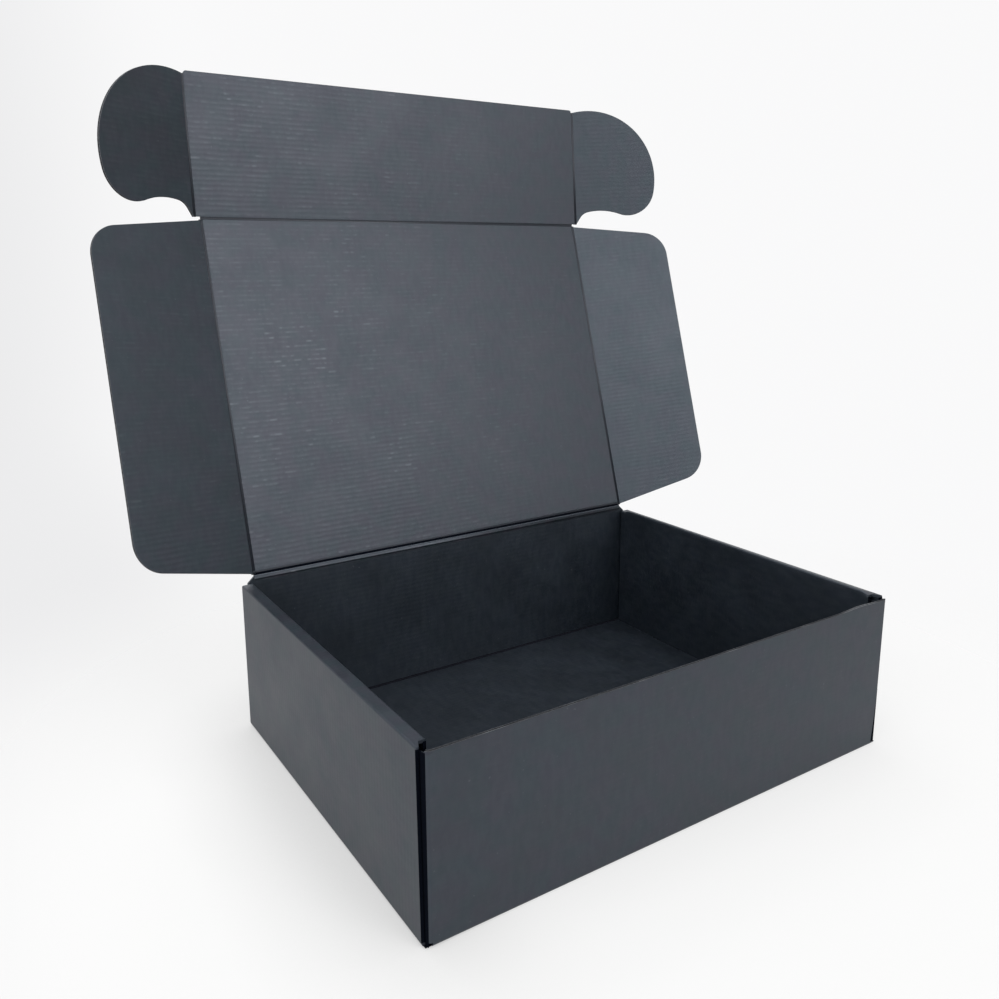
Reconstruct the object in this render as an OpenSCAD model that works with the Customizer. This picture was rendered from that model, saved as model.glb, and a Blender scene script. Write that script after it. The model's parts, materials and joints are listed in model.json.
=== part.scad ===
// Corrugated mailer box: a roll-end tray with a hinged tuck-in lid, in
// millimetres. Width runs along X and depth along Y, with the front wall at
// -Y. The tray's underside lies at zero height. The lid is drawn open,
// leaning back from the rear wall.

/* [Board] */
// Thickness of the corrugated board
board = 1.5; // [1.2:0.05:1.7]
// Radius at the outside of a fold at the tray's bottom and corners
fold_r = 2.2; // [2:0.05:2.4]
// Radius of the crisp folds at the two edges of a rim
rim_r = 1; // [0.8:0.05:1.15]
// Air between two layers of board that lie against each other
layer_gap = 0.33; // [0.3:0.01:0.5]
// Air at a working crease, between its rounded edge and the moving panel
crease_gap = 0.3; // [0.3:0.01:0.5]

/* [Tray] */
// Width over the side walls
tray_w = 300; // [240:1:380]
// Depth over the front and rear walls
tray_d = 222; // [180:1:280]
// Height of the rims on the side walls
rim_h = 89.5; // [89:0.5:140]
// Drop of the front wall's raw edge below the rims
front_drop = 1; // [0.5:0.1:3]
// Rise of the lid's crease above the rims
hinge_rise = 3.8; // [3.8:0.1:4.4]
// Step of a side wall's front edge behind the front wall, at the bottom
side_step_low = 2.6; // [2.4:0.1:3.5]
// Step of a side wall's front edge behind the front wall, at the rim
side_step_high = 4.2; // [3.6:0.1:6]
// Step of a side wall's rear edge ahead of the rear wall
side_step_rear = 2.6; // [2.4:0.1:3.5]
// Further step back of the rolled-over layer at its front end
roll_step = 4; // [3:0.1:6]

/* [Corner flaps] */
// Length of the flaps that run from the front and rear walls into the sides
corner_flap_l = 62; // [40:1:80]
// Corner radius of a corner flap's free end
corner_flap_r = 12; // [5:0.5:20]
// Slope that each edge of a corner flap loses beside its fold
corner_flap_slope = 3; // [1:0.5:5]
// Length of that sloping stretch
corner_flap_run = 10; // [6:1:15]

/* [Lock tabs] */
// Number of lock tabs under each rolled-over layer
tab_count = 2; // [1:1:3]
// Width of a lock tab
tab_w = 26; // [15:1:35]
// Air around a lock tab in its slot
tab_gap = 0.5; // [0.4:0.1:0.8]

/* [Lid] */
// Angle of the lid from its closed position
lid_angle = 106.7; // [95:0.1:120]
// Air between the folded tuck panel and the front wall
tuck_air = 0.6; // [0.5:0.1:1]

/* [Side flaps] */
// Reach of a side flap from its crease
flap_reach = 73.5; // [40:0.5:80]
// Angle at which the flaps stand in from the plane of the lid
flap_fold_angle = 20; // [0:1:20]
// Slant of a side flap's two ends
flap_taper_angle = 10.3; // [4:0.1:15]
// Corner radius of a side flap
flap_r = 19; // [8:0.5:25]
// Distance of a side flap's ends from the lid's creases, at the fold
flap_end_gap = 1.3; // [1.2:0.1:3]

/* [Tuck panel] */
// Height of the tuck panel from its crease to its free edge
tuck_l = 85.5; // [80:0.5:86]
// Angle at which the tuck panel stands in from the plane of the lid
tuck_fold_angle = 12; // [0:1:20]
// Radius of the tuck panel's free corners
tuck_r = 2; // [1:0.5:4]

/* [Locking ears] */
// Reach of an ear from its crease
ear_reach = 63; // [58:0.5:66]
// Angle at which the ears stand in from the plane of the tuck panel
ear_fold_angle = 28; // [0:1:30]
// Height of an ear's lobe above the lid's crease
ear_lift = 6.2; // [4:0.1:8]
// Radius of the lobe on the lid's side of an ear
ear_lobe_r = 20; // [18:0.5:22]
// Radius of the shallow scallop between the lobe and the throat
ear_scallop_r = 46; // [40:1:55]
// Radius of the throat beside the crease
ear_throat_r = 7; // [5:0.5:8]

/* [Hidden] */
$fn = 64;
arc_steps = 12;

tray_colour = "#3c4047";
lid_colour = "#535962";
flap_colour = "#454b53";

half_w = tray_w / 2;
half_d = tray_d / 2;
half_board = board / 2;

// Layers of a rolled-over side, each by its outer face, from the outside in
flap_layer_x = half_w - board - layer_gap;
ear_layer_x = flap_layer_x - board - layer_gap;
roll_layer_x = ear_layer_x - board - layer_gap;
roll_face_x = roll_layer_x - board;

// Working creases, each an axis through the middle of the board
hinge_y = half_d - half_board;
hinge_z = rim_h + hinge_rise;
tuck_axis_y = -half_d + board + tuck_air + half_board;
lid_l = hinge_y - tuck_axis_y;
flap_axis_x = roll_face_x - layer_gap - half_board;
ear_axis_x = ear_layer_x - half_board;
panel_start = half_board + crease_gap;

// Heights and ends of the tray's walls
front_top_z = rim_h - front_drop;
under_rim_z = rim_h - board - tab_gap;
corner_x = flap_layer_x - fold_r;
corner_y = half_d - fold_r;
roll_front_y = -half_d + side_step_high + roll_step;
side_rear_y = half_d - side_step_rear;
tab_pitch = (side_rear_y - roll_front_y) / tab_count;

// An ear's tangent arcs, measured out from the crease and along it. The large
// shoulder fills the height between the lobe and the tuck panel's free edge,
// and falls away to the crease, where it leaves a nick beside that edge.
ear_nick = 1.2;
ear_tip_rise = 1.2;
lobe_angle = -12;
scallop_angle = 249;
throat_angle = 100;
ear_tip = [panel_start, ear_tip_rise];
shoulder_room = tuck_l - ear_nick / 2 - ear_lift - ear_lobe_r * (1 + sin(lobe_angle));
ear_shoulder_r = shoulder_room / (1 - sin(lobe_angle));
shoulder_c = [ear_reach - ear_shoulder_r, tuck_l - ear_nick / 2 - ear_shoulder_r];
shoulder_angle = acos((panel_start - shoulder_c[0]) / ear_shoulder_r);
lobe_c = shoulder_c + (ear_shoulder_r - ear_lobe_r) * toward(lobe_angle);
scallop_c = lobe_c + (ear_lobe_r + ear_scallop_r) * toward(scallop_angle);
throat_c = scallop_c + (ear_scallop_r - ear_throat_r) * toward(throat_angle);
throat_leg = throat_c - ear_tip;
tip_angle = atan2(throat_leg[1], throat_leg[0]) + asin(ear_throat_r / norm(throat_leg)) + 90;

// Unit vector at an angle
function toward(angle) = [cos(angle), sin(angle)];

// Points along an arc, from one angle to another
function arc(centre, radius, from, to, steps = arc_steps) =
    [for (i = [0 : steps]) centre + radius * toward(from + (to - from) * i / steps)];

// Points of a rounded corner at p, between the points before and after it
function corner(before, p, after, radius) =
    let (u = (before - p) / norm(before - p))
    let (v = (after - p) / norm(after - p))
    let (half = acos(u * v) / 2)
    let (centre = p + (u + v) / norm(u + v) * radius / sin(half))
    let (first = p + u * radius / tan(half) - centre)
    let (last = p + v * radius / tan(half) - centre)
    let (from = atan2(first[1], first[0]))
    let (turn = atan2(last[1], last[0]) - from)
    let (short = turn > 180 ? turn - 360 : turn < -180 ? turn + 360 : turn)
    arc(centre, radius, from, from + short);

// Outline with each corner rounded by its own radius; zero keeps it sharp
function rounded(points, radii) =
    let (n = len(points))
    [for (i = [0 : n - 1]) each radii[i] == 0
        ? [points[i]]
        : corner(points[(i + n - 1) % n], points[i], points[(i + 1) % n], radii[i])];

// Section of a board bent through a right angle, about the bend's centre
module fold_section(turn) {
    rotate(turn) intersection() {
        difference() {
            circle(fold_r);
            circle(fold_r - board);
        }
        square(fold_r);
    }
}

// A flat board, its middle at zero height, cut to a drawn outline
module flat_board() {
    translate([0, 0, -half_board]) linear_extrude(board) children();
}

// Half-round edge of a panel along X, facing +Y, at a working crease
module crease_edge(length) {
    rotate([90, 0, 90]) linear_extrude(length, center = true) intersection() {
        circle(half_board);
        translate([0, -half_board]) square([half_board, board]);
    }
}

// Outer layer of a side: bottom fold, outer wall and the rim's outer edge
module outer_section() {
    inner_x = half_w - board;
    translate([half_w - fold_r, fold_r]) fold_section(270);
    polygon(rounded(
        [[inner_x, fold_r], [half_w, fold_r], [half_w, rim_h], [inner_x, rim_h]],
        [0, 0, rim_r, 0]
    ));
}

// Rim's flat top, its inner edge and the layer that rolls down inside
module roll_section() {
    inner_x = half_w - board;
    polygon(rounded(
        [
            [roll_face_x, board], [roll_layer_x, board], [roll_layer_x, rim_h - board],
            [inner_x, rim_h - board], [inner_x, rim_h], [roll_face_x, rim_h]
        ],
        [0, 0, 0, 0, 0, rim_r]
    ));
}

// Side view of the outer layer, with its sloping front edge
module outer_outline() {
    polygon([
        [-half_d + side_step_low, 0],
        [side_rear_y, 0],
        [side_rear_y, rim_h],
        [-half_d + side_step_high, rim_h]
    ]);
}

// Plan of the rolled-over layer, with the slant at the front end of the rim
module roll_plan() {
    polygon([
        [roll_face_x, roll_front_y],
        [flap_layer_x - board, roll_front_y],
        [half_w - board, -half_d + side_step_high],
        [half_w - board, side_rear_y],
        [roll_face_x, side_rear_y]
    ]);
}

// Lock tabs of the rolled-over layer, or their slots when air is added
module tabs(air) {
    for (i = [0 : tab_count - 1]) {
        middle_y = roll_front_y + (i + 0.5) * tab_pitch;
        translate([roll_face_x - air, middle_y - tab_w / 2 - air, 0])
            cube([board + 2 * air, tab_w + 2 * air, board]);
    }
}

// Right-hand side of the tray: outer wall, rim, rolled-over layer and tabs
module side_wall() {
    intersection() {
        translate([0, half_d, 0]) rotate([90, 0, 0]) linear_extrude(tray_d) outer_section();
        rotate([90, 0, 90]) linear_extrude(half_w) outer_outline();
    }
    intersection() {
        translate([0, half_d, 0]) rotate([90, 0, 0]) linear_extrude(tray_d) roll_section();
        linear_extrude(rim_h) roll_plan();
    }
    tabs(0);
}

// Upright fold at the front right corner, and the flap that it carries
module corner_flap() {
    low = fold_r + layer_gap;
    slope = corner_flap_slope;
    translate([corner_x, -corner_y, low]) linear_extrude(under_rim_z - low) fold_section(270);
    translate([flap_layer_x - board, -corner_y, 0])
        rotate([90, 0, 90]) linear_extrude(board) polygon(rounded(
            [
                [0, low], [corner_flap_run, low + slope], [corner_flap_l, low + slope],
                [corner_flap_l, under_rim_z - slope], [corner_flap_run, under_rim_z - slope],
                [0, under_rim_z]
            ],
            [0, 0, corner_flap_r, corner_flap_r, 0, 0]
        ));
}

// Front wall with its bottom fold
module front_wall() {
    rotate([90, 0, 90]) linear_extrude(2 * corner_x, center = true) {
        translate([-corner_y, fold_r]) fold_section(180);
        translate([-half_d, fold_r]) square([board, front_top_z - fold_r]);
    }
}

// Rear wall with its bottom fold, its sloping shoulders and the lid's crease
module rear_wall() {
    rotate([90, 0, 90]) linear_extrude(2 * corner_x, center = true)
        translate([corner_y, fold_r]) fold_section(270);
    translate([0, half_d, 0]) rotate([90, 0, 0]) linear_extrude(board) polygon([
        [-corner_x, fold_r], [corner_x, fold_r], [corner_x, rim_h],
        [flap_axis_x, hinge_z], [-flap_axis_x, hinge_z], [-corner_x, rim_h]
    ]);
    translate([0, hinge_y, hinge_z]) rotate([90, 0, 0]) crease_edge(2 * flap_axis_x);
}

// Bottom panel with its corner reliefs and the slots for the lock tabs
module bottom_panel() {
    wide = 2 * (half_w - fold_r);
    difference() {
        linear_extrude(board) {
            square([2 * corner_x, 2 * corner_y], center = true);
            translate([-wide / 2, -half_d + side_step_low])
                square([wide, side_rear_y + half_d - side_step_low]);
        }
        for (side = [0, 1]) mirror([side, 0, 0]) tabs(tab_gap);
    }
}

// The folded tray: bottom, four walls, corner flaps and rolled-over sides
module tray() {
    color(tray_colour) {
        bottom_panel();
        front_wall();
        rear_wall();
        for (side = [0, 1]) mirror([side, 0, 0]) {
            side_wall();
            corner_flap();
            mirror([0, 1, 0]) corner_flap();
        }
    }
}

// Places a flat lid, crease at the origin and inside up, on the rear wall
module on_hinge() {
    translate([0, hinge_y, hinge_z]) rotate([180 - lid_angle, 0, 0]) children();
}

// Places a flat tuck panel on the front crease of the opened lid
module on_lid() {
    on_hinge() translate([0, lid_l, 0]) rotate([tuck_fold_angle, 0, 0]) children();
}

// Turns a flat piece in by its fold angle, about a crease on the right side
module folded_in(axis_x, angle) {
    translate([axis_x, 0, 0]) rotate([0, -angle, 0]) children();
}

// Lid panel, with rounded edges at the creases of the flaps and the tuck
module lid() {
    side_edge_l = lid_l - panel_start - flap_end_gap;
    color(lid_colour) on_hinge() {
        flat_board() translate([-flap_axis_x, panel_start])
            square([2 * flap_axis_x, lid_l - panel_start]);
        translate([0, lid_l, 0]) crease_edge(2 * flap_axis_x);
        for (side = [0, 1]) mirror([side, 0, 0])
            translate([flap_axis_x, panel_start + side_edge_l / 2, 0])
                rotate(-90) crease_edge(side_edge_l);
    }
}

// Outline of a side flap, out from its crease and along the lid
module side_flap_outline() {
    near = flap_end_gap + panel_start * tan(flap_taper_angle);
    far = flap_end_gap + flap_reach * tan(flap_taper_angle);
    polygon(rounded(
        [[panel_start, near], [flap_reach, far], [flap_reach, lid_l - far], [panel_start, lid_l - near]],
        [0, flap_r, flap_r, 0]
    ));
}

// Flap on the lid's right side, standing in by its fold angle
module right_side_flap() {
    color(flap_colour) on_hinge() folded_in(flap_axis_x, flap_fold_angle) flat_board() side_flap_outline();
}

// Flap on the lid's left side
module left_side_flap() {
    mirror([1, 0, 0]) right_side_flap();
}

// Tuck panel, with rounded edges at the creases of the ears
module tuck_flap() {
    ear_edge_l = tuck_l - tuck_r - panel_start;
    color(lid_colour) on_lid() {
        flat_board() polygon(rounded(
            [
                [-ear_axis_x, panel_start], [ear_axis_x, panel_start],
                [ear_axis_x, tuck_l], [-ear_axis_x, tuck_l]
            ],
            [0, 0, tuck_r, tuck_r]
        ));
        for (side = [0, 1]) mirror([side, 0, 0])
            translate([ear_axis_x, panel_start + ear_edge_l / 2, 0])
                rotate(-90) crease_edge(ear_edge_l);
    }
}

// Outline of an ear: throat, scallop, lobe and shoulder, out from the crease
module ear_outline() {
    intersection() {
        polygon(concat(
            [ear_tip],
            arc(throat_c, ear_throat_r, tip_angle, throat_angle, 6),
            arc(scallop_c, ear_scallop_r, throat_angle, scallop_angle - 180),
            arc(lobe_c, ear_lobe_r, scallop_angle, 360 + lobe_angle, 24),
            arc(shoulder_c, ear_shoulder_r, lobe_angle, shoulder_angle, 24)
        ));
        translate([panel_start, 0]) square([ear_reach, tuck_l]);
    }
}

// Ear on the right end of the tuck panel, standing in by its fold angle
module right_ear() {
    color(flap_colour) on_lid() folded_in(ear_axis_x, ear_fold_angle) flat_board() ear_outline();
}

// Ear on the left end of the tuck panel
module left_ear() {
    mirror([1, 0, 0]) right_ear();
}

tray();
lid();
left_side_flap();
right_side_flap();
tuck_flap();
left_ear();
right_ear();
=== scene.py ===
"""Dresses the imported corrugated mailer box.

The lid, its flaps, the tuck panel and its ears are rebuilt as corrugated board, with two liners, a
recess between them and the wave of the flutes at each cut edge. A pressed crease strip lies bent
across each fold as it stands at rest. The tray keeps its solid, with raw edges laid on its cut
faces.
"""

import json
import logging
import math
from dataclasses import dataclass, field
from enum import Enum
from typing import Callable, Sequence

import bmesh
import bpy
from mathutils import Matrix, Vector

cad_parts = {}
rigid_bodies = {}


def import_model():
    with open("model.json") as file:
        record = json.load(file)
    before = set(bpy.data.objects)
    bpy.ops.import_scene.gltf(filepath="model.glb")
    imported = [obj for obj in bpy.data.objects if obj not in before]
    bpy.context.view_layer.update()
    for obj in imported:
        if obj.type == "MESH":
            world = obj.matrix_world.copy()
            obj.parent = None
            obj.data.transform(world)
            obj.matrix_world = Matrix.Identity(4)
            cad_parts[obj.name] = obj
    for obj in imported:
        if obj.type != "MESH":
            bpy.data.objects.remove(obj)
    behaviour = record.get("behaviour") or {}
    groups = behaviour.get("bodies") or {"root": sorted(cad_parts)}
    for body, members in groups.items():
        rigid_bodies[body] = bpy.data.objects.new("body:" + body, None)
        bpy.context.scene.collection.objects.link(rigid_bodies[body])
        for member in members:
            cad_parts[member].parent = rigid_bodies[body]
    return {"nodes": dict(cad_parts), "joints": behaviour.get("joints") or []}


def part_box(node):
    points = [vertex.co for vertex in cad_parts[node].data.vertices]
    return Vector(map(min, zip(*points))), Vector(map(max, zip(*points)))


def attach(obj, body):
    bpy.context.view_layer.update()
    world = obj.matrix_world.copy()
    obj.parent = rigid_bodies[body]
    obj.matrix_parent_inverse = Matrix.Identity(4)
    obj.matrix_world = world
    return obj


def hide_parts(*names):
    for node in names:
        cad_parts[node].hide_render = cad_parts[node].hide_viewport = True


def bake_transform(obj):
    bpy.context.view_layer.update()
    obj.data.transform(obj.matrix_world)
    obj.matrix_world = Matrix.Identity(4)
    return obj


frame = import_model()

logging.basicConfig(level=logging.INFO, format="%(message)s")
LOG = logging.getLogger("mailer_box")

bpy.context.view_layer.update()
MM = 0.001
SHEET_MAP = "sheet"
FLOAT = "NodeSocketFloat"
VECTOR = "NodeSocketVector"
BLACK = (0.0, 0.0, 0.0)
STRAIGHT = 1e-4
SIDES = ((1, "right"), (-1, "left"))
ENDS = ((-1, "front"), (1, "rear"))

Point = tuple[float, float]
Place = tuple[float, float, float]
Colour = tuple[float, float, float]
Ramp = tuple[float, ...]
Material = bpy.types.Material
Node = bpy.types.Node
NodeTree = bpy.types.NodeTree
Piece = bpy.types.Object
Socket = bpy.types.NodeSocket


class Face(Enum):
    """Material slots of a piece of board, in order."""

    INSIDE = 0
    OUTSIDE = 1
    CUT = 2
    MEDIUM = 3
    # Painted shade: darker colour in the crease grooves.
    CREASE_SHADE = 4
    # Painted shade: dark colour in slots, fold hollows and the hinge groove.
    SHADED = 5
    # Painted shade: dark line at the inside foot of the walls.
    FOOT_LINE_SHADE = 6


class Coordinates(Enum):
    """Where a finish takes its place on the flat sheet from."""

    SHEET = "a map of the flat sheet, carried by the piece"
    TRAY = "the folded tray's own walls"


@dataclass(frozen=True)
class BoardSizes:
    """Sizes of the corrugated board, in metres."""

    thickness: float = 1.5 * MM
    liner: float = 0.3 * MM
    recess: float = 0.5 * MM
    lip_inset: float = 0.1 * MM
    lip_drop: float = 0.08 * MM
    medium: float = 0.17 * MM
    flute_pitch: float = 3.0 * MM
    wave_step: float = 0.33 * MM
    crease_half: float = 1.1 * MM
    crease_depth: float = 0.36 * MM
    crease_spread: float = 0.66 * MM
    crease_bulge: float = 0.1 * MM
    crease_step: float = 0.14 * MM

    @property
    def half(self) -> float:
        """Half the board's thickness."""
        return self.thickness / 2

    @property
    def wave_height(self) -> float:
        """How far the flutes' middle line swings from the middle of the board."""
        return self.half - self.liner - self.medium / 2


BOARD = BoardSizes()


def joint(name: str) -> dict:
    """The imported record's entry of a joint, with its place, axis and range."""
    return next(row for row in frame["joints"] if row["name"] == name)


def joint_place(name: str) -> Vector:
    """The point that a joint turns about, in metres."""
    return Vector(joint(name)["pos_m"])


def rest_fold(name: str) -> float:
    """Angle from the flat sheet at which a flap stands at rest, in radians.

    Args:
        name: The joint whose low limit is a right-angled fold.
    """
    return math.radians(90 + joint(name)["range_deg"][0])


def smooth_step(share: float) -> float:
    """Smooth rise from 0 to 1 as a share goes from 0 to 1."""
    share = min(1.0, max(0.0, share))
    return share * share * (3 - 2 * share)


def hump(distance: float, spread: float) -> float:
    """A round hump of height 1, as high as 1/e at the spread's distance from its middle."""
    return math.exp(-((distance / spread) ** 2))


@dataclass(frozen=True)
class Spread:
    """How a noise is stretched over the flat sheet.

    Attributes:
        along: How fast it changes along the flutes.
        across: How fast it changes across them.
        seed: Where it starts, so that no two noises are the same.
        detail: Number of its finer layers.
        roughness: Strength of the finer layers.
    """

    along: float
    across: float
    seed: float = 0.0
    detail: float = 2.0
    roughness: float = 0.5


class NodeBuilder:
    """Adds and links nodes in one node tree."""

    def __init__(self, tree: NodeTree) -> None:
        """Keeps the tree that nodes are added to."""
        self.tree = tree

    @classmethod
    def of(cls, owner: bpy.types.ID) -> "NodeBuilder":
        """Empties the nodes of a material or world and gives their builder."""
        owner.use_nodes = True
        owner.node_tree.nodes.clear()
        return cls(owner.node_tree)

    def add(self, kind: str, **settings: object) -> Node:
        """Adds a node and sets its plain properties.

        Args:
            kind: Blender's name of the node type.
            settings: Property names and their values.

        Returns:
            The new node.
        """
        node = self.tree.nodes.new(kind)
        for name, value in settings.items():
            setattr(node, name, value)
        return node

    def feed(self, socket: Socket, value: object) -> None:
        """Links an output to a socket, or sets the socket's own value.

        Args:
            socket: The socket.
            value: An output, a value, or an opaque colour of three numbers.
        """
        if isinstance(value, Socket):
            self.tree.links.new(value, socket)
        elif socket.type == "RGBA":
            socket.default_value = (*value, 1)
        else:
            socket.default_value = value

    def feed_all(self, node: Node, **values: object) -> Node:
        """Feeds a node's inputs by name.

        Args:
            node: The node.
            values: Names of its inputs, with _ for a space, and what each one gets.

        Returns:
            The node.
        """
        for name, value in values.items():
            self.feed(node.inputs[name.replace("_", " ")], value)
        return node

    def feed_row(self, node: Node, *values: object) -> Socket:
        """Feeds a node's first inputs in order.

        Args:
            node: The node.
            values: What each input gets.

        Returns:
            The node's first output.
        """
        for socket, value in zip(node.inputs, values):
            self.feed(socket, value)
        return node.outputs[0]

    def math(self, operation: str, *values: object) -> Socket:
        """The result of an operation on numbers or outputs."""
        return self.feed_row(self.add("ShaderNodeMath", operation=operation), *values)

    def product(self, *values: object) -> Socket:
        """The product of numbers and outputs.

        Args:
            values: The factors, taken in order.

        Returns:
            The output of the last multiplication.
        """
        result, *others = values
        for value in others:
            result = self.math("MULTIPLY", result, value)
        return result

    def either(self, share: object, first: object, second: object) -> Socket:
        """The first value where a share is 1, and the second where it is 0."""
        rest = self.math("SUBTRACT", 1.0, share)
        return self.math("ADD", self.product(first, share), self.product(second, rest))

    def measure(self, operation: str, *vectors: object) -> Socket:
        """The number that an operation on vectors gives.

        Args:
            operation: The operation's name.
            vectors: Vectors or outputs for its inputs, in order.

        Returns:
            The node's number.
        """
        node = self.add("ShaderNodeVectorMath", operation=operation)
        self.feed_row(node, *vectors)
        return node.outputs["Value"]

    def ramp(
        self, value: object, low: float, high: float, start: float = 0.0, end: float = 1.0,
    ) -> Socket:
        """A smooth change from start to end while a value goes from low to high."""
        node = self.add("ShaderNodeMapRange", interpolation_type="SMOOTHSTEP")
        return self.feed_row(node, value, low, high, start, end)

    def mix(self, share: object, first: object, second: object, blend: str = "MIX") -> Socket:
        """Two colours mixed by a share.

        Args:
            share: Share of the second colour.
            first: Colour or output at share 0.
            second: Colour or output at share 1.
            blend: Blender's name of the way they mix.

        Returns:
            The mixed colour's output.
        """
        node = self.add("ShaderNodeMix", data_type="RGBA", blend_type=blend)
        for place, value in ((0, share), (6, first), (7, second)):
            self.feed(node.inputs[place], value)
        return node.outputs[2]

    def noise(
        self, vector: object, scale: float, detail: float = 2.0, roughness: float = 0.5,
    ) -> Socket:
        """Value of a noise texture at a place.

        Args:
            vector: The place.
            scale: Scale of the noise.
            detail: Number of its finer layers.
            roughness: Strength of those layers.

        Returns:
            The value's output, from 0 to 1.
        """
        node = self.add("ShaderNodeTexNoise")
        self.feed_all(node, Vector=vector, Scale=scale, Detail=detail, Roughness=roughness)
        return node.outputs["Fac"]

    def spread(self, along: object, across: object, look: Spread) -> Socket:
        """Value of a noise that is stretched over the flat sheet."""
        stretched = self.product(along, look.along), self.product(across, look.across)
        return self.noise(self.combine(*stretched, look.seed), 1.0, look.detail, look.roughness)

    def combine(self, x: object, y: object, z: object = 0.0) -> Socket:
        """A vector from three numbers."""
        return self.feed_row(self.add("ShaderNodeCombineXYZ"), x, y, z)

    def separate(self, vector: object) -> Sequence[Socket]:
        """The three numbers of a vector."""
        node = self.add("ShaderNodeSeparateXYZ")
        self.feed_row(node, vector)
        return node.outputs

    def group(self, tree: NodeTree, **values: object) -> Sequence[Socket]:
        """Places a node group, feeds its inputs by name and gives its outputs."""
        return self.feed_all(self.add("ShaderNodeGroup", node_tree=tree), **values).outputs

    def surface(self, height: object = None, **values: object) -> None:
        """Adds a material's shader and its output.

        Args:
            height: Height of the surface in metres, where it isn't smooth.
            values: The shader's input names, with _ for a space, and what each one gets.
        """
        if height is not None:
            bump = self.feed_all(self.add("ShaderNodeBump"), Distance=1.0, Height=height)
            values["Normal"] = bump.outputs[0]
        shader = self.feed_all(self.add("ShaderNodeBsdfPrincipled"), **values)
        self.feed_all(self.add("ShaderNodeOutputMaterial"), Surface=shader.outputs[0])


@dataclass(frozen=True)
class FluteLook:
    """The flutes' washboard under a liner, with dashes of rubbing and painted sheen on its crests.

    Attributes:
        bends: Noises that the flutes' lines bend by, each with its share of a flute's width.
        streaks: Noise of the faint streaks, row by row, and its ramp.
        dashes: Noise of the bright dashes, row by row, and its ramp.
        dash_patches: Noise of the patches that the bright dashes keep to, and its ramp.
        bright_share: How strongly the bright dashes show.
        press_patches: Noise of how far the flutes press through the liner, and its ramp.
        crest: Ramp from a flute's trough to its crest.
    """

    bends: Sequence[tuple[Spread, float]] = ((Spread(12, 40), 0.35), (Spread(60, 90, 2.3), 0.4))
    streaks: tuple[Spread, Ramp] = (Spread(115, 7.31, 0, 3, 0.65), (0.4, 0.74, 0.0, 0.32))
    dashes: tuple[Spread, Ramp] = (Spread(165, 7.31, 5.3, 1), (0.55, 0.78))
    dash_patches: tuple[Spread, Ramp] = (Spread(20, 20, 3.7), (0.35, 0.59, 0.28, 1.0))
    bright_share: float = 0.68
    press_patches: tuple[Spread, Ramp] = (Spread(60, 12, 9.1, 3, 0.6), (0.34, 0.62, 0.38, 1.0))
    crest: Ramp = (-0.35, 0.95)


@dataclass(frozen=True)
class PaperLook:
    """The black paper's mottle: scale, detail and roughness of each noise, and its ramp."""

    cloud: Ramp = (28, 4, 0.6)
    grain: Ramp = (900, 3, 0.65)
    specks: tuple[Ramp, Ramp] = ((520, 1), (0.735, 0.8))
    hue: tuple[Ramp, Ramp] = ((75, 2), (0.36, 0.64))
    fibres: tuple[Spread, Ramp] = (Spread(300, 110), (0.3, 0.7))


@dataclass(frozen=True)
class TrayLook:
    """How the tray's walls are told apart.

    Attributes:
        facing: Least share of its normal along an axis by which a wall faces that way.
        bottom: Height under which the bottom's upper face lies, which takes painted shade.
        inward: Ramp of how a face looks, from the inside of the walls outwards, for painted shade.
        flat: Ramp from a fold's round to a flat wall.
    """

    facing: float = 0.7
    bottom: float = 5 * MM
    inward: Ramp = (-0.05, -0.02, 1.0, 0.0)
    flat: Ramp = (0.96, 0.999)


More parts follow.
